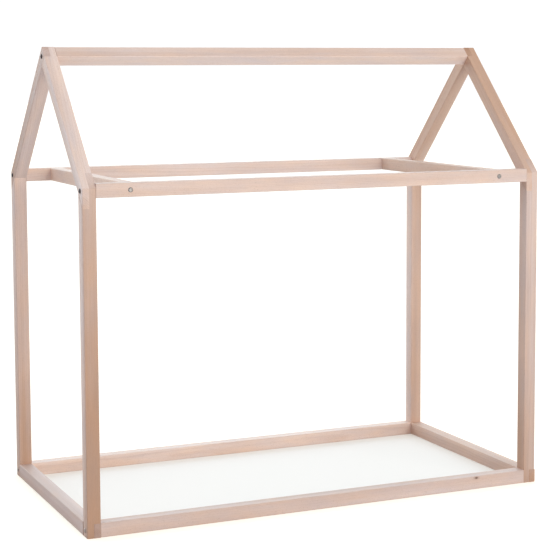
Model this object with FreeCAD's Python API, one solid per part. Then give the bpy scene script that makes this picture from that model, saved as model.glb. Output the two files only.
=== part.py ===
import FreeCAD, Part
import math
import os

from FreeCAD import Placement, Rotation, Vector

# House frame bed for a child: two house-shaped gable frames of squared timber, joined by rails
# and a ridge beam. The mattress lies on the floor, inside the base.
#
# Millimetres. X runs along the bed, Y from front to rear, Z up. The origin is on the floor,
# under the middle of the bed.
#
# Each gable frame is glued up with half-lap joints. In every gable the same half of the timber,
# the one towards -X, belongs to the post at the base and to the rafter at the knee. The rails
# and the ridge beam butt against the gables, and each end is drawn up by a connector bolt into
# a barrel nut, with a dowel above the bolt to keep the timber from turning.

# Clear space inside the base, for the mattress.
bed_length = 1400.0
bed_width = 700.0

# Timbers. The base is a little stouter, flush with the posts inside and proud of them outside.
frame_timber = 40.0
base_height = 41.0
base_proud = 1.0
eased_edge = 2.5

# The knee is where the roof slope leaves the outer face of a post.
knee_height = 988.0
roof_rise = 394.0
eave_rail_rise = 12.0
tie_rail_gap = 80.0

# Connector bolts with a flat round head and a hexagon socket. The shoulder's share is how far it
# has climbed from the rim to the flat when it is half way in.
bolt_diameter = 6.0
bolt_length = 80.0
bolt_tip_chamfer = 1.0
head_diameter = 14.0
head_thickness = 3.0
head_rim = 1.0
head_flat_diameter = 9.0
head_shoulder_share = 0.7
socket_across_flats = 4.0
socket_depth = 2.2
seat_clearance = 0.5
bolt_hole_clearance = 0.5
bolt_hole_overrun = 2.0

# Barrel nuts, with a slot in the end that shows in the mouth of their bore.
nut_diameter = 10.0
nut_length = 14.0
nut_clearance = 0.1
thread_clearance = 0.05
nut_slot_width = 1.2
nut_slot_depth = 1.0

# Dowels. The share is how far one reaches through the inner half of a gable's lap.
dowel_diameter = 8.0
dowel_length = 40.0
dowel_chamfer = 1.0
dowel_clearance = 0.05
dowel_end_room = 0.5
dowel_lap_share = 0.75

# What follows from them. A trimming solid only has to reach past the timber that it trims.
inner_x = bed_length / 2
inner_y = bed_width / 2
outer_x = inner_x + frame_timber
outer_y = inner_y + frame_timber
base_outer_x = outer_x + base_proud
base_outer_y = outer_y + base_proud
lap = frame_timber / 2
eave_rail_top = knee_height + eave_rail_rise
ridge_height = knee_height + roof_rise
slope = roof_rise / outer_y
pitch = math.degrees(math.atan(slope))
rafter_drop = math.hypot(1.0, slope) * frame_timber
beyond = ridge_height + frame_timber

ridge_axis_height = ridge_height - frame_timber / math.sqrt(2)
tie_rail_axis = inner_x - tie_rail_gap - frame_timber / 2
bolt_hole_radius = bolt_diameter / 2 + bolt_hole_clearance
nut_depth = bolt_length - nut_diameter / 2
dowel_offset = (frame_timber / 2 + bolt_hole_radius) / 2
dowel_start = frame_timber - lap * dowel_lap_share

UP = Vector(0, 0, 1)
ALONG = Vector(1, 0, 0)
ACROSS = Vector(0, 1, 0)
NOWHERE = Vector(0, 0, 0)

HEXAGON_SIDES = 6


def timber(low, high, grain):
    """Squared timber between two corners, with its four edges along the grain eased."""
    box = Part.makeBox(high.x - low.x, high.y - low.y, high.z - low.z, low)
    along_grain = []
    for edge in box.Edges:
        start, end = [corner.Point for corner in edge.Vertexes]
        if abs((end - start).dot(grain)) > eased_edge:
            along_grain.append(edge)
    return box.makeFillet(eased_edge, along_grain)


def block(x_low, x_high, y_low, y_high, z_low, z_high):
    """Plain box, for trimming."""
    return Part.makeBox(x_high - x_low, y_high - y_low, z_high - z_low, Vector(x_low, y_low, z_low))


def above(start_height, rise, x_low, x_high):
    """Everything above a sloping plane that has its height at the bed's middle and rises with Y."""
    low = start_height - rise * beyond
    high = start_height + rise * beyond
    top = max(low, high) + beyond
    outline = [
        Vector(x_low, -beyond, low),
        Vector(x_low, beyond, high),
        Vector(x_low, beyond, top),
        Vector(x_low, -beyond, top),
    ]
    face = Part.Face(Part.makePolygon(outline + outline[:1]))
    return face.extrude(Vector(x_high - x_low, 0, 0))


def front_post(x_low):
    """Post from the floor to the roof slope, with a lap at the base corner and one at the knee."""
    middle = x_low + lap
    x_high = x_low + frame_timber
    bar = timber(Vector(x_low, -outer_y, 0), Vector(x_high, -inner_y, ridge_height), UP)
    return bar.cut([
        above(ridge_height, slope, x_low, x_high),
        above(ridge_height - rafter_drop, slope, x_low, middle),
        block(middle, x_high, -outer_y, -inner_y, 0, base_height),
    ])


def front_rafter(x_low, laps_on_far_half):
    """Rafter from the knee to the apex. The far half is the one towards +X, at the apex lap.

    The upright trims it plumb at the knee, with the corner eased like the post's below.
    """
    middle = x_low + lap
    x_high = x_low + frame_timber
    bar = timber(Vector(0, -beyond, -frame_timber), Vector(frame_timber, beyond, 0), ACROSS)
    bar.Placement = Placement(Vector(x_low, 0, ridge_height), Rotation(ALONG, pitch))
    whole_half = (middle, x_high) if laps_on_far_half else (x_low, middle)
    cut_half = (x_low, middle) if laps_on_far_half else (middle, x_high)
    upright = timber(Vector(x_low, -outer_y, -beyond), Vector(x_high, beyond, beyond), UP)
    return bar.common(upright).cut([
        block(middle, x_high, -outer_y, -inner_y, -beyond, beyond),
        above(ridge_height, -slope, *whole_half),
        above(ridge_height - rafter_drop, -slope, *cut_half),
    ])


def base_cross_rail(x_low, x_proud_low, x_proud_high):
    """Rail between the posts of a gable, whose ends lap over the post on the side towards +X."""
    rail = timber(
        Vector(x_proud_low, -base_outer_y, 0),
        Vector(x_proud_high, base_outer_y, base_height),
        ACROSS,
    )
    middle = x_low + lap
    return rail.cut([
        block(x_proud_low, middle, -base_outer_y, -inner_y, 0, base_height),
        block(x_proud_low, middle, inner_y, base_outer_y, 0, base_height),
    ])


def base_rail():
    """Front base rail, between the gables' cross rails."""
    return timber(Vector(-inner_x, -base_outer_y, 0), Vector(inner_x, -inner_y, base_height), ALONG)


def eave_rail():
    """Front eave rail, flush with the posts and standing a little above the knees."""
    low = Vector(-inner_x, -outer_y, eave_rail_top - frame_timber)
    return timber(low, Vector(inner_x, -inner_y, eave_rail_top), ALONG)


def tie_rail(x_middle):
    """Rail from the front eave rail to the rear one, with its top flush with theirs."""
    low = Vector(x_middle - frame_timber / 2, -inner_y, eave_rail_top - frame_timber)
    high = Vector(x_middle + frame_timber / 2, inner_y, eave_rail_top)
    return timber(low, high, ACROSS)


def ridge_beam():
    """Timber set on its corner, with its top edge at the apex."""
    beam = timber(Vector(-inner_x, 0, 0), Vector(inner_x, frame_timber, frame_timber), ALONG)
    lowest_edge = Vector(0, 0, ridge_height - frame_timber * math.sqrt(2))
    beam.Placement = Placement(lowest_edge, Rotation(ALONG, 45))
    return beam


def rod(radius, start, direction, length):
    """Round bar or hole from a point along a direction."""
    return Part.makeCylinder(radius, length, start, direction)


def bolt(seat, outward):
    """Connector bolt whose head sits on the seat and whose shank points the other way."""
    rim = head_diameter / 2
    flat = head_flat_diameter / 2
    shoulder_height = head_rim + (head_thickness - head_rim) * head_shoulder_share
    shoulder = Vector((rim + flat) / 2, 0, shoulder_height)
    edges = [
        Part.makeLine(NOWHERE, Vector(rim, 0, 0)),
        Part.makeLine(Vector(rim, 0, 0), Vector(rim, 0, head_rim)),
        Part.Arc(Vector(rim, 0, head_rim), shoulder, Vector(flat, 0, head_thickness)).toShape(),
        Part.makeLine(Vector(flat, 0, head_thickness), Vector(0, 0, head_thickness)),
        Part.makeLine(Vector(0, 0, head_thickness), NOWHERE),
    ]
    head = Part.Face(Part.Wire(edges)).revolve(NOWHERE, UP, 360)
    shank = rod(bolt_diameter / 2, Vector(0, 0, -bolt_length), UP, bolt_length)
    tip = [edge for edge in shank.Edges if edge.Closed and edge.CenterOfMass.z < -bolt_length / 2]
    shank = shank.makeChamfer(bolt_tip_chamfer, tip)
    corner = socket_across_flats / math.sqrt(3)
    hexagon = []
    for step in range(HEXAGON_SIDES + 1):
        angle = 2 * math.pi * step / HEXAGON_SIDES
        hexagon.append(Vector(corner * math.cos(angle), corner * math.sin(angle), head_thickness))
    socket = Part.Face(Part.makePolygon(hexagon)).extrude(UP * -socket_depth)
    whole = head.fuse(shank).cut(socket).removeSplitter()
    whole.Placement = Placement(seat, Rotation(UP, outward))
    return whole


def barrel_nut(centre, mouth, inward):
    """Cross dowel with a threaded hole along the bolt and a slot in its end at the bore's mouth."""
    nut = rod(nut_diameter / 2, centre - mouth * (nut_length / 2), mouth, nut_length)
    hole_radius = bolt_diameter / 2 + thread_clearance
    hole = rod(hole_radius, centre - inward * nut_diameter, inward, 2 * nut_diameter)
    side = mouth.cross(inward)
    reach = nut_diameter / 2
    slot_floor = centre + mouth * (nut_length / 2 - nut_slot_depth)
    half = nut_slot_width / 2
    outline = [
        slot_floor - inward * reach - side * half,
        slot_floor + inward * reach - side * half,
        slot_floor + inward * reach + side * half,
        slot_floor - inward * reach + side * half,
    ]
    slot = Part.Face(Part.makePolygon(outline + outline[:1])).extrude(mouth * nut_slot_depth)
    return nut.cut([hole, slot])


def dowel(start, inward):
    """Dowel with chamfered ends."""
    pin = rod(dowel_diameter / 2, start, inward, dowel_length)
    ends = [edge for edge in pin.Edges if edge.Closed]
    return pin.makeChamfer(dowel_chamfer, ends)


def bolted_end(seat, inward, mouth):
    """Bolt, barrel nut, dowel and borings of one rail end.

    The seat is where the bolt head sits, one frame timber away from the rail's end. The mouth
    is the way that the barrel nut's bore opens.
    """
    nut_centre = seat + inward * nut_depth
    dowel_axis = seat + UP * dowel_offset
    nut_reach = nut_length / 2 + nut_clearance
    nut_bore_radius = nut_diameter / 2 + nut_clearance
    borings = [
        rod(head_diameter / 2 + seat_clearance, seat, -inward, head_thickness),
        rod(bolt_hole_radius, seat, inward, bolt_length + bolt_hole_overrun),
        rod(nut_bore_radius, nut_centre - mouth * nut_reach, mouth, nut_reach + frame_timber),
        rod(
            dowel_diameter / 2 + dowel_clearance,
            dowel_axis + inward * (dowel_start - dowel_end_room),
            inward,
            dowel_length + 2 * dowel_end_room,
        ),
    ]
    return {
        "bolts": bolt(seat, -inward),
        "barrel_nuts": barrel_nut(nut_centre, mouth, inward),
        "dowels": dowel(dowel_axis + inward * dowel_start, inward),
        "borings": borings,
    }


def mirrored(shape):
    """The same piece at the rear."""
    return shape.mirror(NOWHERE, ACROSS)


timbers = {
    "front_base_rail": base_rail(),
    "rear_base_rail": mirrored(base_rail()),
    "front_eave_rail": eave_rail(),
    "rear_eave_rail": mirrored(eave_rail()),
    "left_tie_rail": tie_rail(-tie_rail_axis),
    "right_tie_rail": tie_rail(tie_rail_axis),
    "ridge_beam": ridge_beam(),
    "left_base_cross_rail": base_cross_rail(-outer_x, -base_outer_x, -inner_x),
    "right_base_cross_rail": base_cross_rail(inner_x, inner_x, base_outer_x),
}
for end, gable_low in (("left", -outer_x), ("right", inner_x)):
    timbers[f"{end}_front_post"] = front_post(gable_low)
    timbers[f"{end}_rear_post"] = mirrored(front_post(gable_low))
    timbers[f"{end}_front_rafter"] = front_rafter(gable_low, True)
    timbers[f"{end}_rear_rafter"] = mirrored(front_rafter(gable_low, False))

# Every bolted end: its group, seat, the way in, the way that the nut's bore opens, and the
# timbers that it passes through.
base_rail_axis = (base_outer_y + inner_y) / 2
eave_rail_axis = (outer_y + inner_y) / 2
eave_bolt_height = eave_rail_top - frame_timber / 2
rear_and_down = Vector(0, 1, -1).normalize()
bolted_ends = []
for end, x_sign in (("left", -1), ("right", 1)):
    inward = ALONG * -x_sign
    ridge_seat = Vector(x_sign * outer_x, 0, ridge_axis_height)
    rafters = [f"{end}_front_rafter", f"{end}_rear_rafter"]
    bolted_ends.append(("ridge", ridge_seat, inward, rear_and_down, rafters + ["ridge_beam"]))
    for side, y_sign in (("front", -1), ("rear", 1)):
        post = f"{end}_{side}_post"
        base_seat = Vector(x_sign * outer_x, y_sign * base_rail_axis, base_height / 2)
        base_timbers = [post, f"{end}_base_cross_rail", f"{side}_base_rail"]
        bolted_ends.append(("base", base_seat, inward, -UP, base_timbers))
        eave_seat = Vector(x_sign * outer_x, y_sign * eave_rail_axis, eave_bolt_height)
        eave_timbers = [post, f"{end}_{side}_rafter", f"{side}_eave_rail"]
        bolted_ends.append(("eave", eave_seat, inward, -UP, eave_timbers))
        tie_seat = Vector(x_sign * tie_rail_axis, y_sign * outer_y, eave_bolt_height)
        tie_timbers = [f"{side}_eave_rail", f"{end}_tie_rail"]
        bolted_ends.append(("tie_rail", tie_seat, ACROSS * -y_sign, -UP, tie_timbers))

fasteners = {}
for group, seat, inward, mouth, bored in bolted_ends:
    made = bolted_end(seat, inward, mouth)
    for name in bored:
        timbers[name] = timbers[name].cut(made["borings"])
    for kind in ("bolts", "barrel_nuts", "dowels"):
        fasteners.setdefault(f"{group}_{kind}", []).append(made[kind])

os.makedirs("parts", exist_ok=True)
for name, shape in timbers.items():
    shape.exportStep(f"parts/{name}.step")
for name, solids in fasteners.items():
    Part.makeCompound(solids).exportStep(f"parts/{name}.step")
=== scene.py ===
import math
import random

import bmesh
import bpy
from mathutils import Matrix, Vector


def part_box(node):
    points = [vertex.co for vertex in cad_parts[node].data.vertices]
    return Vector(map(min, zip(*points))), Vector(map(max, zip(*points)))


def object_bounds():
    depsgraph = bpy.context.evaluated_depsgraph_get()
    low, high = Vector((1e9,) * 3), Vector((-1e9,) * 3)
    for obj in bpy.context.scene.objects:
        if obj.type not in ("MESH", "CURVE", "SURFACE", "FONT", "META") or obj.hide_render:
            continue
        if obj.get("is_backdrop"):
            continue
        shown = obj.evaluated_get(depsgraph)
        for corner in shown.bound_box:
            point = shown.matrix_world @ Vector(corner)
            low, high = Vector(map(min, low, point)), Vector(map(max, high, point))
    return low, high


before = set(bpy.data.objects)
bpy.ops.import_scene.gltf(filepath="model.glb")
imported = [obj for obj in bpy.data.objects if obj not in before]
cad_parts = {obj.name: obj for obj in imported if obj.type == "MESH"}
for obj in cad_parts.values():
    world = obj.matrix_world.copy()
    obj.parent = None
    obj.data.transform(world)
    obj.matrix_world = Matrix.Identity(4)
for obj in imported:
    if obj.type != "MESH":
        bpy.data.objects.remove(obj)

bl_info = {
    "name": "House frame bed",
    "version": (1, 0, 0),
    "blender": (4, 5, 0),
    "location": "3D View > Sidebar > House bed",
    "description": "Finishes the beech timbers and fittings of a house frame bed and sets its studio",
    "category": "Object",
}

# Width of the camera's sensor in millimetres.
SENSOR = 36.0

# The softbox, in metres: its middle, the point that it faces and the length of its side.
KEY_PLACE = Vector((3.6, -13.6, 5.2))
KEY_TARGET = Vector((0, 0, 0.7))
KEY_SIDE = 7.6

# The floor's radius in metres, and the number of its sides.
FLOOR_RADIUS = 60.0
FLOOR_SIDES = 96

# The floor's glow changes from here, inside the base's outline, to the outline itself, in metres.
UNDER_BASE = -0.03

# The floor's paint, and the tint of its glow.
FLOOR_PAINT = (0.70, 0.70, 0.71, 1)
FLOOR_TINT = (1.0, 0.92, 0.76, 1)

# The ceiling sets in where a direction rises by these shares of its length, and the backdrop where
# it runs to the rear by these.
CEILING_EDGE = (0.60, 0.80)
BACKDROP_EDGE = (0.05, 0.60)

# Strength of the surroundings as the camera sees them.
PLAIN_WHITE = 1.05

# Colours of the light: the softbox, the backdrop and ceiling, the room, and all of it as the camera
# sees it.
WARM = (1.0, 0.975, 0.86)
COOL = (0.86, 1.0, 1.08, 1)
ROSE = (1.04, 0.93, 0.99, 1)
WHITE = (1, 1, 1, 1)

# How far the growth rings stray from round, in metres: in long bends, and in small ripples.
RING_BEND = 0.016
RING_RIPPLE = 0.0016

# How far streaks and clouds swing a board's tone, and small patches its blush.
STREAK_SWING = 0.6
CLOUD_SWING = 0.5
PATCH_SWING = 1.8

# What the colour of the wood is multiplied by at the dark end of a ring, and on end grain.
LATE_CAST = (0.74, 0.62, 0.54, 1)
END_CAST = (0.80, 0.74, 0.71, 1)

# How fine the brushing is along X, Y and Z: alike all ways on the bolts, and in lines on the nuts.
BOLT_BRUSH = (900, 900, 900)
NUT_BRUSH = (300, 2400, 300)

X_AXIS = Vector((1, 0, 0))
Y_AXIS = Vector((0, 1, 0))
Z_AXIS = Vector((0, 0, 1))

# Each timber's tone runs from 0, brown, to 1, pale, and its blush from 0, honey, to 1, pink. The
# lean says how much its tone rises per metre along X, Y and Z, and the turn how much paler a face is
# that looks along X, Y and Z. Both are partly the wood's own, as from heartwood to sapwood and where
# the saw met the rays, and partly painted light and shade: faces and ends made lighter or darker by
# how the light falls on them, and painted shade where one timber meets another. The timbers' values
# were fitted to the photograph by a program and then rounded, not chosen by eye.
BOARDS = {
    "front_base_rail": {"tone": 0.57, "blush": 0.75, "lean": (0, -3.7, -3.7), "turn": (0, 0, 0)},
    "rear_base_rail": {"tone": 0.86, "blush": 0.35, "lean": (0, 0, 0), "turn": (0, 0, 0)},
    "left_base_cross_rail": {"tone": 0.51, "blush": 1.00, "lean": (4.3, -0.25, 0), "turn": (0, 0.2, 0.1)},
    "right_base_cross_rail": {"tone": 0.44, "blush": 0.20, "lean": (0, 0.15, 0), "turn": (0, 0, 0)},
    "left_front_post": {"tone": 0.32, "blush": 0.65, "lean": (0, 10.3, 0.6), "turn": (-0.2, 0, 0.35)},
    "left_rear_post": {"tone": 0.41, "blush": 0.70, "lean": (-1.0, 1.0, 0.45), "turn": (0.05, 0, 0)},
    "right_front_post": {"tone": 0.29, "blush": 0.80, "lean": (0, -6.7, 0.3), "turn": (0.15, 0, 0.2)},
    "right_rear_post": {"tone": 0.51, "blush": 0.40, "lean": (-4.5, 9.0, -0.05), "turn": (-0.1, 0, 0)},
    "left_front_rafter": {"tone": 0.78, "blush": 0.50, "lean": (7.3, -4.5, 3.9), "turn": (0, 0.2, 0.25)},
    "left_rear_rafter": {"tone": 0.45, "blush": 0.80, "lean": (0, -0.2, 0.2), "turn": (0.3, -0.3, 0.1)},
    "right_front_rafter": {"tone": 0.18, "blush": 0.15, "lean": (-1.3, 0.8, -1.1), "turn": (0, -0.3, -0.2)},
    "right_rear_rafter": {"tone": 0.45, "blush": -0.05, "lean": (5.6, -2.9, -3.2), "turn": (0, 0, 0)},
    "front_eave_rail": {"tone": 0.72, "blush": 0.55, "lean": (0, 0, 0), "turn": (0, 0, 0)},
    "rear_eave_rail": {"tone": 0.71, "blush": 0.60, "lean": (0, 0, 0), "turn": (0, 0, 0)},
    # Painted shade: the left tie rail's left side is darker, and darker still towards its front end where
    # it meets the front eave rail.
    "left_tie_rail": {"tone": 0.96, "blush": 0.10, "lean": (0, 0.3, 0), "turn": (0.35, 0, -0.3)},
    "right_tie_rail": {"tone": 0.41, "blush": 0.10, "lean": (0, 0.35, 0), "turn": (0, 0, 0)},
    # Painted light and shade: the ridge beam's upper faces are darker and its lower faces lighter.
    "ridge_beam": {"tone": 0.88, "blush": 0.45, "lean": (0, 0, 0), "turn": (0, 0, -0.2)},
}
for place in ("base", "eave", "ridge", "tie_rail"):
    BOARDS[f"{place}_dowels"] = {"tone": 0.70, "blush": 0.30, "lean": (0, 0, 0), "turn": (0, 0, 0)}

# Steel of the fittings: the endings of their nodes' names, and its own name, tint, polish and brushing.
STEELS = (
    (("tie_rail_bolts",), "bright_bolt", (0.46, 0.43, 0.41, 1), 0.24, BOLT_BRUSH),
    (("base_bolts",), "dull_bolt", (0.64, 0.54, 0.48, 1), 0.60, BOLT_BRUSH),
    # Painted shade: the eave and ridge bolts are the same steel, tinted near black.
    (("eave_bolts", "ridge_bolts"), "painted_shade_bolt", (0.10, 0.075, 0.07, 1), 0.28, BOLT_BRUSH),
    (("_barrel_nuts",), "plated_nut", (0.50, 0.49, 0.46, 1), 0.28, NUT_BRUSH),
)

# Knots: middle in metres, and radii along and across the grain.
KNOTS = {
    "front_base_rail": (((0.5255, -0.391, 0.0354), 0.0062, 0.0030),),
}


class TimberSettings(bpy.types.PropertyGroup):
    """Colours and figure of the beech."""

    pale: bpy.props.FloatVectorProperty(
        name="Pale wood", description="Colour of the palest board", subtype="COLOR",
        size=4, min=0, max=1, default=(0.95, 0.772, 0.691, 1))
    brown: bpy.props.FloatVectorProperty(
        name="Brown wood", description="Colour of the brownest board", subtype="COLOR",
        size=4, min=0, max=1, default=(0.570, 0.346, 0.232, 1))
    honey: bpy.props.FloatVectorProperty(
        name="Honey", description="Cast of the yellower patches", subtype="COLOR",
        size=4, min=0, max=1, default=(1.0, 0.96, 0.90, 1))
    pink: bpy.props.FloatVectorProperty(
        name="Pink", description="Cast of the pinker patches of steamed beech", subtype="COLOR",
        size=4, min=0, max=1, default=(0.88, 0.92, 0.985, 1))
    fleck: bpy.props.FloatVectorProperty(
        name="Fleck", description="Colour of the small dark rays", subtype="COLOR",
        size=4, min=0, max=1, default=(0.38, 0.22, 0.14, 1))
    knot: bpy.props.FloatVectorProperty(
        name="Knot", description="Colour of a knot's heart", subtype="COLOR",
        size=4, min=0, max=1, default=(0.17, 0.09, 0.06, 1))
    ring_width: bpy.props.FloatProperty(
        name="Ring width", description="Width of one year's growth", unit="LENGTH", default=0.0032)
    log_radius: bpy.props.FloatProperty(
        name="Distance to the heart", description="From a board's middle to the heart of its log",
        unit="LENGTH", default=0.09)
    roughness: bpy.props.FloatProperty(
        name="Roughness", description="Roughness of the sanded face", subtype="FACTOR",
        min=0, max=1, default=0.52)


class StudioSettings(bpy.types.PropertyGroup):
    """Camera, lights and floor."""

    camera_place: bpy.props.FloatVectorProperty(
        name="Camera", description="Place of the camera", subtype="TRANSLATION",
        size=3, default=(-1.9855, -4.5201, 1.3111))
    camera_turn: bpy.props.FloatVectorProperty(
        name="Camera turn", description="Pitch, roll and yaw of the camera, to the right and up",
        subtype="EULER", size=3,
        default=(math.radians(-5.314), math.radians(-0.245), math.radians(23.845)))
    focal_length: bpy.props.FloatProperty(
        name="Focal length", description="On a 36 mm sensor", unit="CAMERA", default=102.14)
    shift: bpy.props.FloatProperty(
        name="Shift", description="Downward shift of the picture, as a share of its side",
        default=0.109)
    key_power: bpy.props.FloatProperty(
        name="Key light", description="Power of the large front softbox", unit="POWER", default=910.0)
    backdrop: bpy.props.FloatProperty(
        name="Backdrop", description="Brightness of the paper behind the bed", default=2.2)
    ceiling: bpy.props.FloatProperty(
        name="Ceiling", description="Brightness overhead", default=0.58)
    room: bpy.props.FloatProperty(
        name="Room", description="Brightness of the rest of the room", default=0.55)
    floor_glow: bpy.props.FloatProperty(
        name="Floor glow", description="Lift of the floor inside the base towards white", default=0.32)
    outer_glow: bpy.props.FloatProperty(
        name="Outer glow", description="Lift of the floor around the bed towards white", default=0.62)


class HouseBedSettings(bpy.types.PropertyGroup):
    """Everything that a user may set."""

    timber: bpy.props.PointerProperty(type=TimberSettings)
    studio: bpy.props.PointerProperty(type=StudioSettings)


# Node helpers.

def add(tree, kind, inputs=None, **settings):
    """Adds a node, with its settings, and gives each of these inputs its value or link."""
    made = tree.nodes.new(kind)
    for name, value in settings.items():
        setattr(made, name, value)
    for socket, value in (inputs or {}).items():
        if isinstance(value, bpy.types.NodeSocket):
            tree.links.new(value, made.inputs[socket])
        else:
            made.inputs[socket].default_value = value
    return made


def calc(tree, operation, first, second=0.0, third=0.0):
    """Result of a math node."""
    return add(tree, "ShaderNodeMath", {0: first, 1: second, 2: third}, operation=operation).outputs[0]


def swing(tree, value, size):
    """Noise around a half, turned into a swing of this size around 0."""
    return calc(tree, "MULTIPLY_ADD", value, size, -size / 2)


def dot(tree, first, second):
    """Dot product of two vectors."""
    made = add(tree, "ShaderNodeVectorMath", {0: first, 1: second}, operation="DOT_PRODUCT")
    return made.outputs["Value"]


def smooth(tree, value, low, high, start=0.0, end=1.0):
    """Value eased from one range to another, held at both ends."""
    ranges = {"Value": value, "From Min": low, "From Max": high, "To Min": start, "To Max": end}
    return add(tree, "ShaderNodeMapRange", ranges, interpolation_type="SMOOTHSTEP").outputs["Result"]


def stretch(tree, vector, along, across):
    """Log coordinates scaled along the grain and across it."""
    scale = {0: vector, 1: (along, across, across)}
    return add(tree, "ShaderNodeVectorMath", scale, operation="MULTIPLY").outputs[0]


def noise(tree, vector, detail=2.0, roughness=0.5):
    """Soft noise around a half."""
    values = {"Vector": vector, "Scale": 1.0, "Detail": detail, "Roughness": roughness}
    return add(tree, "ShaderNodeTexNoise", values).outputs[0]


def mix(tree, factor, first, second, blend_type="MIX"):
    """Blend of two colours, which are sockets 6 and 7 of the node."""
    colors = {0: factor, 6: first, 7: second}
    return add(tree, "ShaderNodeMix", colors, data_type="RGBA", blend_type=blend_type).outputs[2]


def cast(tree, color, over):
    """One colour multiplied by another."""
    return mix(tree, 1.0, color, over, "MULTIPLY")


def effect(name, inputs, outputs):
    """Shader node group with named sockets: the tree, its inputs and its output node."""
    tree = bpy.data.node_groups.new(name, "ShaderNodeTree")
    for direction, sockets in (("INPUT", inputs), ("OUTPUT", outputs)):
        for socket, kind in sockets:
            tree.interface.new_socket(socket, in_out=direction, socket_type=f"NodeSocket{kind}")
    entry = tree.nodes.new("NodeGroupInput")
    return tree, entry.outputs, tree.nodes.new("NodeGroupOutput")


def use(tree, group, inputs):
    """Places an effect in a material."""
    return add(tree, "ShaderNodeGroup", inputs, node_tree=group).outputs


# Effects that the materials share.

def beech_figure():
    """Colour, height and roughness of beech, in log coordinates: X along the grain, from the heart."""
    tree, given, out = effect(
        "beech_figure",
        (("Log place", "Vector"), ("Bulge", "Float"), ("End grain", "Float"), ("Tone", "Float"),
         ("Blush", "Float"), ("Pale", "Color"), ("Brown", "Color"), ("Honey", "Color"),
         ("Pink", "Color"), ("Fleck", "Color"), ("Ring width", "Float"), ("Roughness", "Float")),
        (("Color", "Color"), ("Height", "Float"), ("Roughness", "Float")))
    place = given["Log place"]
    split = add(tree, "ShaderNodeSeparateXYZ", {0: place}).outputs
    flat = add(tree, "ShaderNodeCombineXYZ", {"Y": split["Y"], "Z": split["Z"]}).outputs[0]
    radius = add(tree, "ShaderNodeVectorMath", {0: flat}, operation="LENGTH").outputs["Value"]
    turn = calc(tree, "ARCTAN2", split["Z"], split["Y"])

    # Growth rings, a little wavy, each with a darker end.
    wander = noise(tree, stretch(tree, place, 1.3, 14), detail=2)
    waver = noise(tree, stretch(tree, place, 6, 90), detail=1)
    wave = calc(tree, "MULTIPLY_ADD", wander, RING_BEND, calc(tree, "MULTIPLY", waver, RING_RIPPLE))
    grown = calc(tree, "ADD", calc(tree, "ADD", radius, wave), given["Bulge"])
    age = calc(tree, "DIVIDE", grown, given["Ring width"])
    season = calc(tree, "FRACT", age)
    late = calc(tree, "MULTIPLY", smooth(tree, season, 0.35, 0.92), smooth(tree, season, 1.0, 0.93))

    # Years differ: some rings are darker all round.
    year = calc(tree, "FLOOR", age)
    mood = add(tree, "ShaderNodeTexWhiteNoise", {"W": year}, noise_dimensions="1D").outputs["Value"]
    ring = calc(tree, "MULTIPLY", late, calc(tree, "MULTIPLY_ADD", mood, 0.8, 0.4))

    # Broad streaks and clouds along the board, and smaller patches of honey and pink.
    streak = noise(tree, stretch(tree, place, 0.7, 34), detail=3, roughness=0.55)
    cloud = noise(tree, stretch(tree, place, 2.2, 7), detail=2)
    patch = noise(tree, stretch(tree, place, 7, 36), detail=2)
    spread = calc(tree, "ADD", swing(tree, streak, STREAK_SWING), swing(tree, cloud, CLOUD_SWING))
    tone = add(tree, "ShaderNodeClamp", {0: calc(tree, "ADD", given["Tone"], spread)}).outputs[0]
    blush = calc(tree, "ADD", given["Blush"], swing(tree, patch, PATCH_SWING))
    blush = add(tree, "ShaderNodeClamp", {0: blush}).outputs[0]

    # Fibres, and the rays: thin blades that point at the heart.
    fibre = noise(tree, stretch(tree, place, 38, 1900), detail=2, roughness=0.6)
    blade = add(tree, "ShaderNodeCombineXYZ", {
        "X": calc(tree, "MULTIPLY", split["X"], 330),
        "Y": calc(tree, "MULTIPLY", radius, 130),
        "Z": calc(tree, "MULTIPLY", turn, 170),
    }).outputs[0]
    ray = smooth(tree, noise(tree, blade, detail=1), 0.60, 0.74)
    side = calc(tree, "SUBTRACT", 1.0, given["End grain"])

    # Colour: the board's own, then the rings, the fibres, the flecks of the rays and the end grain.
    wood = mix(tree, tone, given["Brown"], given["Pale"])
    wood = cast(tree, wood, mix(tree, blush, given["Honey"], given["Pink"]))
    shade = calc(tree, "MULTIPLY", ring, calc(tree, "MULTIPLY_ADD", given["End grain"], 0.5, 0.22))
    wood = mix(tree, shade, wood, cast(tree, wood, LATE_CAST))
    grain = calc(tree, "MULTIPLY_ADD", fibre, 0.26, 0.87)
    grey = add(tree, "ShaderNodeCombineColor", {0: grain, 1: grain, 2: grain}).outputs[0]
    wood = cast(tree, wood, grey)
    flecks = calc(tree, "MULTIPLY", ray, calc(tree, "MULTIPLY_ADD", side, 0.30, 0.10))
    wood = mix(tree, flecks, wood, given["Fleck"])
    ends = calc(tree, "MULTIPLY", given["End grain"], 0.85)
    wood = mix(tree, ends, wood, cast(tree, wood, END_CAST))
    tree.links.new(wood, out.inputs["Color"])

    relief = calc(tree, "MULTIPLY_ADD", fibre, 0.6, calc(tree, "MULTIPLY", ring, 0.3))
    relief = calc(tree, "SUBTRACT", relief, calc(tree, "MULTIPLY", ray, 0.4))
    tree.links.new(relief, out.inputs["Height"])
    rough = calc(tree, "ADD", given["Roughness"], swing(tree, fibre, 0.16))
    rough = calc(tree, "ADD", rough, calc(tree, "MULTIPLY", given["End grain"], 0.2))
    tree.links.new(rough, out.inputs["Roughness"])
    return tree


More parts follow.
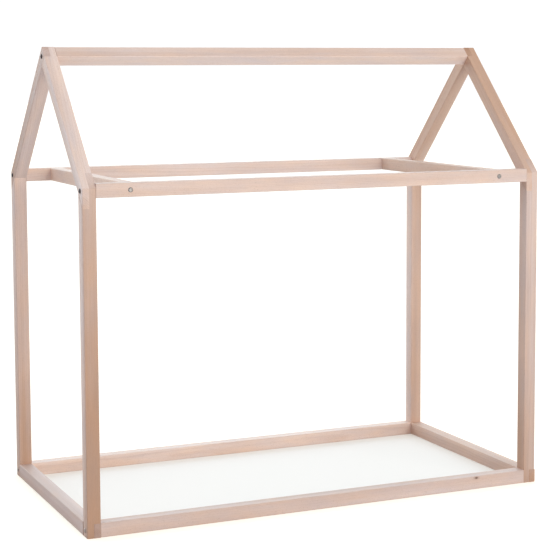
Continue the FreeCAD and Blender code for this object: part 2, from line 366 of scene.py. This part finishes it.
def knot():
    """Masks of a knot's heart and of the stained wood around it, and how far it bends the rings."""
    tree, given, out = effect(
        "knot",
        (("Log place", "Vector"), ("Centre", "Vector"), ("Radii", "Vector")),
        (("Heart", "Float"), ("Halo", "Float"), ("Bulge", "Float")))
    offset = add(tree, "ShaderNodeVectorMath", {0: given["Log place"], 1: given["Centre"]},
                 operation="SUBTRACT").outputs[0]
    share = add(tree, "ShaderNodeVectorMath", {0: offset, 1: given["Radii"]},
                operation="DIVIDE").outputs[0]
    far = add(tree, "ShaderNodeVectorMath", {0: share}, operation="LENGTH").outputs["Value"]
    ragged = swing(tree, noise(tree, stretch(tree, given["Log place"], 300, 900)), 0.6)
    edge = calc(tree, "ADD", far, ragged)
    tree.links.new(smooth(tree, edge, 1.0, 0.6), out.inputs["Heart"])
    tree.links.new(smooth(tree, edge, 2.6, 0.9), out.inputs["Halo"])
    tree.links.new(smooth(tree, far, 5.0, 0.5, 0.0, 0.004), out.inputs["Bulge"])
    return tree


# Materials.

def surface(name):
    """New material with its shader, as (material, tree, shader)."""
    material = bpy.data.materials.new(name)
    material.use_nodes = True
    tree = material.node_tree
    return material, tree, tree.nodes["Principled BSDF"]


def grain_of(name):
    """Way that the grain of a timber runs."""
    low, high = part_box(name)
    size = high - low
    if "rafter" in name:
        rise = math.atan2(size.z, size.y)
        steep = rise if "front" in name else -rise
        return Vector((0, math.cos(steep), math.sin(steep)))
    if "post" in name:
        return Z_AXIS
    if "dowels" in name:
        return Y_AXIS if "tie" in name else X_AXIS
    return X_AXIS if size.x > size.y else Y_AXIS


def log_axes(name):
    """Rotation whose columns are a timber's grain and the two ways across it."""
    grain = grain_of(name)
    across = X_AXIS if abs(grain.x) < 0.5 else Y_AXIS
    return Matrix((grain, across, grain.cross(across))).transposed()


def beech(name, effects):
    """Beech cut along this timber's own grain, from its own place in its own log."""
    chosen = bpy.context.scene.house_bed.timber
    board = BOARDS[name]
    draw = random.Random(name)
    axes = log_axes(name)
    low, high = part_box(name)
    turn = draw.uniform(0, 2 * math.pi)
    reach = chosen.log_radius * draw.uniform(0.6, 1.4)
    to_heart = Vector((draw.uniform(3, 30), math.cos(turn) * reach, math.sin(turn) * reach))
    heart = (low + high) / 2 - axes @ to_heart

    material, tree, shader = surface(f"beech_{name}")
    place = add(tree, "ShaderNodeMapping", {
        "Vector": add(tree, "ShaderNodeTexCoord").outputs["Object"],
        "Location": heart,
        "Rotation": axes.to_euler(),
    }, vector_type="TEXTURE").outputs[0]
    off_centre = add(tree, "ShaderNodeVectorMath", {
        0: add(tree, "ShaderNodeTexCoord").outputs["Object"],
        1: (low + high) / 2,
    }, operation="SUBTRACT").outputs[0]
    normal = add(tree, "ShaderNodeNewGeometry").outputs["Normal"]
    # The lean and the turn shift the tone: partly the wood's own, partly painted light and shade by where a
    # point sits and which way its face looks.
    tone = calc(tree, "ADD", dot(tree, off_centre, board["lean"]), dot(tree, normal, board["turn"]))
    facing = dot(tree, normal, grain_of(name))
    end_grain = smooth(tree, calc(tree, "ABSOLUTE", facing), 0.5, 1.0)

    knots = []
    for centre, along, across in KNOTS.get(name, ()):
        there = axes.transposed() @ (Vector(centre) - heart)
        knots.append(use(tree, effects["knot"], {
            "Log place": place, "Centre": there, "Radii": (along, across, across)}))
    bulge = 0.0
    for found in knots:
        bulge = calc(tree, "ADD", found["Bulge"], bulge)
    figure = use(tree, effects["figure"], {
        "Log place": place, "Bulge": bulge, "End grain": end_grain,
        "Tone": calc(tree, "ADD", tone, board["tone"]), "Blush": board["blush"],
        "Pale": chosen.pale, "Brown": chosen.brown, "Honey": chosen.honey, "Pink": chosen.pink,
        "Fleck": chosen.fleck,
        "Ring width": chosen.ring_width * draw.uniform(0.8, 1.3), "Roughness": chosen.roughness})
    color = figure["Color"]
    for found in knots:
        color = mix(tree, calc(tree, "MULTIPLY", found["Halo"], 0.45), color, chosen.fleck)
        color = mix(tree, found["Heart"], color, chosen.knot)
    bump = add(tree, "ShaderNodeBump", {"Height": figure["Height"], "Strength": 0.35, "Distance": 0.0003})
    for socket, value in (("Base Color", color), ("Roughness", figure["Roughness"]),
                          ("Normal", bump.outputs[0])):
        tree.links.new(value, shader.inputs[socket])
    shader.inputs["IOR"].default_value = 1.5
    shader.inputs["Specular IOR Level"].default_value = 0.35
    return material


def brushed_steel(name, tint, polish, lay):
    """Plated steel with fine brushing; the lay says which way the brush went."""
    material, tree, shader = surface(name)
    place = add(tree, "ShaderNodeTexCoord").outputs["Object"]
    scale = add(tree, "ShaderNodeVectorMath", {0: place, 1: lay}, operation="MULTIPLY").outputs[0]
    brush = noise(tree, scale, detail=3, roughness=0.6)
    spots = noise(tree, add(tree, "ShaderNodeVectorMath", {0: place, "Scale": 420.0},
                            operation="SCALE").outputs[0], detail=2)
    dull = tuple(0.72 * part for part in tint[:3]) + (1,)
    tree.links.new(mix(tree, smooth(tree, spots, 0.35, 0.7), tint, dull), shader.inputs["Base Color"])
    rough = calc(tree, "MULTIPLY_ADD", brush, 0.22, polish)
    tree.links.new(rough, shader.inputs["Roughness"])
    bump = add(tree, "ShaderNodeBump", {"Height": brush, "Strength": 0.25, "Distance": 0.0001})
    tree.links.new(bump.outputs[0], shader.inputs["Normal"])
    shader.inputs["Metallic"].default_value = 1.0
    return material


def dress(names, make):
    """Gives each CAD node the material that is made for it."""
    for name in names:
        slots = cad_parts[name].material_slots
        material = make(name)
        for slot in slots:
            slot.material = material


# Operators: one for each group of like pieces, and one for the stage.

class TimberOperator:
    """What the operators for the timbers share."""

    bl_options = {"REGISTER", "UNDO"}
    ends_with = ()

    def execute(self, context):
        names = [name for name in BOARDS if name.endswith(self.ends_with)]
        effects = {
            "figure": bpy.data.node_groups.get("beech_figure") or beech_figure(),
            "knot": bpy.data.node_groups.get("knot") or knot(),
        }
        dress(names, lambda name: beech(name, effects))
        return {"FINISHED"}


class HOUSEBED_OT_posts(TimberOperator, bpy.types.Operator):
    """Finish the four posts, whose feet and knees are lapped with the rails and rafters"""

    bl_idname = "house_bed.posts"
    bl_label = "Posts"
    ends_with = ("_post",)


class HOUSEBED_OT_rafters(TimberOperator, bpy.types.Operator):
    """Finish the four rafters, which are lapped at the apex"""

    bl_idname = "house_bed.rafters"
    bl_label = "Rafters"
    ends_with = ("_rafter",)


class HOUSEBED_OT_base_rails(TimberOperator, bpy.types.Operator):
    """Finish the base rails on the floor and the cross rails of the gables"""

    bl_idname = "house_bed.base_rails"
    bl_label = "Base rails"
    ends_with = ("_base_rail", "_cross_rail")


class HOUSEBED_OT_eave_rails(TimberOperator, bpy.types.Operator):
    """Finish the eave rails and the two tie rails between them"""

    bl_idname = "house_bed.eave_rails"
    bl_label = "Eave and tie rails"
    ends_with = ("_eave_rail", "_tie_rail")


class HOUSEBED_OT_ridge_beam(TimberOperator, bpy.types.Operator):
    """Finish the ridge beam, which is set on its corner"""

    bl_idname = "house_bed.ridge_beam"
    bl_label = "Ridge beam"
    ends_with = ("ridge_beam",)


class HOUSEBED_OT_dowels(TimberOperator, bpy.types.Operator):
    """Finish the dowels that keep the rails from turning"""

    bl_idname = "house_bed.dowels"
    bl_label = "Dowels"
    ends_with = ("_dowels",)


class HOUSEBED_OT_fittings(bpy.types.Operator):
    """Finish the connector bolts and their barrel nuts"""

    bl_idname = "house_bed.fittings"
    bl_label = "Bolts and nuts"
    bl_options = {"REGISTER", "UNDO"}

    def execute(self, context):
        for endings, steel, tint, polish, lay in STEELS:
            material = brushed_steel(steel, tint, polish, lay)
            names = [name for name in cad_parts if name.endswith(endings)]
            dress(names, lambda name, made=material: made)
        return {"FINISHED"}


class HOUSEBED_OT_stage(bpy.types.Operator):
    """Set the white floor and surroundings, the softbox and the camera"""

    bl_idname = "house_bed.stage"
    bl_label = "Stage"
    bl_options = {"REGISTER", "UNDO"}

    def execute(self, context):
        studio = context.scene.house_bed.studio
        lay_floor(studio)
        light_surroundings(studio)
        softbox("key_softbox", KEY_PLACE, KEY_TARGET, KEY_SIDE, studio.key_power, WARM)
        place_camera(studio)
        return {"FINISHED"}


def lay_floor(studio):
    """Pale studio floor, wide enough to meet the backdrop out of sight.

    It bounces a soft light. Where the camera sees it, it glows up to white around the bed, and less
    inside the base, as painted shade under the bed, with the step out of sight under the base timbers.
    """
    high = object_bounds()[1]
    mesh = bpy.data.meshes.new("studio_floor")
    floor = bpy.data.objects.new("studio_floor", mesh)
    bpy.context.scene.collection.objects.link(floor)
    disc = bmesh.new()
    bmesh.ops.create_circle(disc, cap_ends=True, segments=FLOOR_SIDES, radius=FLOOR_RADIUS)
    disc.to_mesh(mesh)
    disc.free()
    material, tree, shader = surface("pale_floor")
    shader.inputs["Base Color"].default_value = FLOOR_PAINT
    shader.inputs["Roughness"].default_value = 1.0
    shader.inputs["Specular IOR Level"].default_value = 0.0
    shader.inputs["Emission Color"].default_value = FLOOR_TINT
    spot = add(tree, "ShaderNodeTexCoord").outputs["Object"]
    split = add(tree, "ShaderNodeSeparateXYZ", {0: spot}).outputs
    past_end = calc(tree, "SUBTRACT", calc(tree, "ABSOLUTE", split["X"]), high.x)
    past_side = calc(tree, "SUBTRACT", calc(tree, "ABSOLUTE", split["Y"]), high.y)
    outside = calc(tree, "MAXIMUM", past_end, past_side)
    # Less glow inside the base than around it: painted shade under the bed.
    glow = smooth(tree, outside, UNDER_BASE, 0.0, studio.floor_glow, studio.outer_glow)
    seen = add(tree, "ShaderNodeLightPath").outputs["Is Camera Ray"]
    tree.links.new(calc(tree, "MULTIPLY", seen, glow), shader.inputs["Emission Strength"])
    mesh.materials.append(material)
    floor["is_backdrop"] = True


def light_surroundings(studio):
    """Bright backdrop behind the bed, a lit ceiling and a dim room, seen by the camera as plain white."""
    world = bpy.data.worlds.new("studio")
    bpy.context.scene.world = world
    world.use_nodes = True
    tree = world.node_tree
    background = tree.nodes["Background"]
    heading = add(tree, "ShaderNodeTexCoord").outputs["Generated"]
    split = add(tree, "ShaderNodeSeparateXYZ", {0: heading}).outputs
    high = smooth(tree, split["Z"], *CEILING_EDGE)
    below = calc(tree, "SUBTRACT", 1.0, high)
    behind = calc(tree, "MULTIPLY", smooth(tree, split["Y"], *BACKDROP_EDGE), below)
    level = smooth(tree, high, 0.0, 1.0, studio.room, studio.ceiling)
    level = smooth(tree, behind, 0.0, 1.0, level, studio.backdrop)
    tint = mix(tree, calc(tree, "MAXIMUM", high, behind), ROSE, COOL)
    seen = add(tree, "ShaderNodeLightPath").outputs["Is Camera Ray"]
    tree.links.new(mix(tree, seen, tint, WHITE), background.inputs["Color"])
    tree.links.new(smooth(tree, seen, 0.0, 1.0, level, PLAIN_WHITE), background.inputs["Strength"])


def softbox(name, place, target, side, power, tint):
    """Square area light that faces a point."""
    light = bpy.data.lights.new(name, "AREA")
    light.color = tint
    light.size = side
    light.energy = power
    lamp = bpy.data.objects.new(name, light)
    lamp.location = place
    lamp.rotation_euler = (target - place).to_track_quat("-Z", "Y").to_euler()
    bpy.context.scene.collection.objects.link(lamp)


def place_camera(studio):
    """Camera at the photograph's place, angle and framing."""
    pitch, roll, yaw = studio.camera_turn
    lens = bpy.data.cameras.new("camera")
    lens.sensor_width = SENSOR
    lens.lens = studio.focal_length
    lens.shift_y = -studio.shift
    camera = bpy.data.objects.new("camera", lens)
    bpy.context.scene.collection.objects.link(camera)
    camera.matrix_world = (
        Matrix.Translation(studio.camera_place)
        @ Matrix.Rotation(-yaw, 4, "Z")
        @ Matrix.Rotation(math.pi / 2 + pitch, 4, "X")
        @ Matrix.Rotation(roll, 4, "Z")
    )
    bpy.context.scene.camera = camera


OPERATORS = (
    HOUSEBED_OT_posts,
    HOUSEBED_OT_rafters,
    HOUSEBED_OT_base_rails,
    HOUSEBED_OT_eave_rails,
    HOUSEBED_OT_ridge_beam,
    HOUSEBED_OT_dowels,
    HOUSEBED_OT_fittings,
    HOUSEBED_OT_stage,
)


class HOUSEBED_PT_panel(bpy.types.Panel):
    """Lists the bed's operators and settings"""

    bl_idname = "HOUSEBED_PT_panel"
    bl_label = "House frame bed"
    bl_space_type = "VIEW_3D"
    bl_region_type = "UI"
    bl_category = "House bed"

    def draw(self, context):
        settings = context.scene.house_bed
        for operator in OPERATORS:
            self.layout.operator(operator.bl_idname)
        for group in (settings.timber, settings.studio):
            box = self.layout.box()
            for name in group.__annotations__:
                box.prop(group, name)


CLASSES = (TimberSettings, StudioSettings, HouseBedSettings) + OPERATORS + (HOUSEBED_PT_panel,)


def register():
    for kind in CLASSES:
        bpy.utils.register_class(kind)
    bpy.types.Scene.house_bed = bpy.props.PointerProperty(type=HouseBedSettings)


def unregister():
    del bpy.types.Scene.house_bed
    for kind in reversed(CLASSES):
        bpy.utils.unregister_class(kind)


def main():
    """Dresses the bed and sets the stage."""
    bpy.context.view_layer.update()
    register()
    bpy.context.scene.view_settings.view_transform = "Standard"
    for operator in OPERATORS:
        group, action = operator.bl_idname.split(".")
        getattr(getattr(bpy.ops, group), action)()


if __name__ == "__main__":
    main()
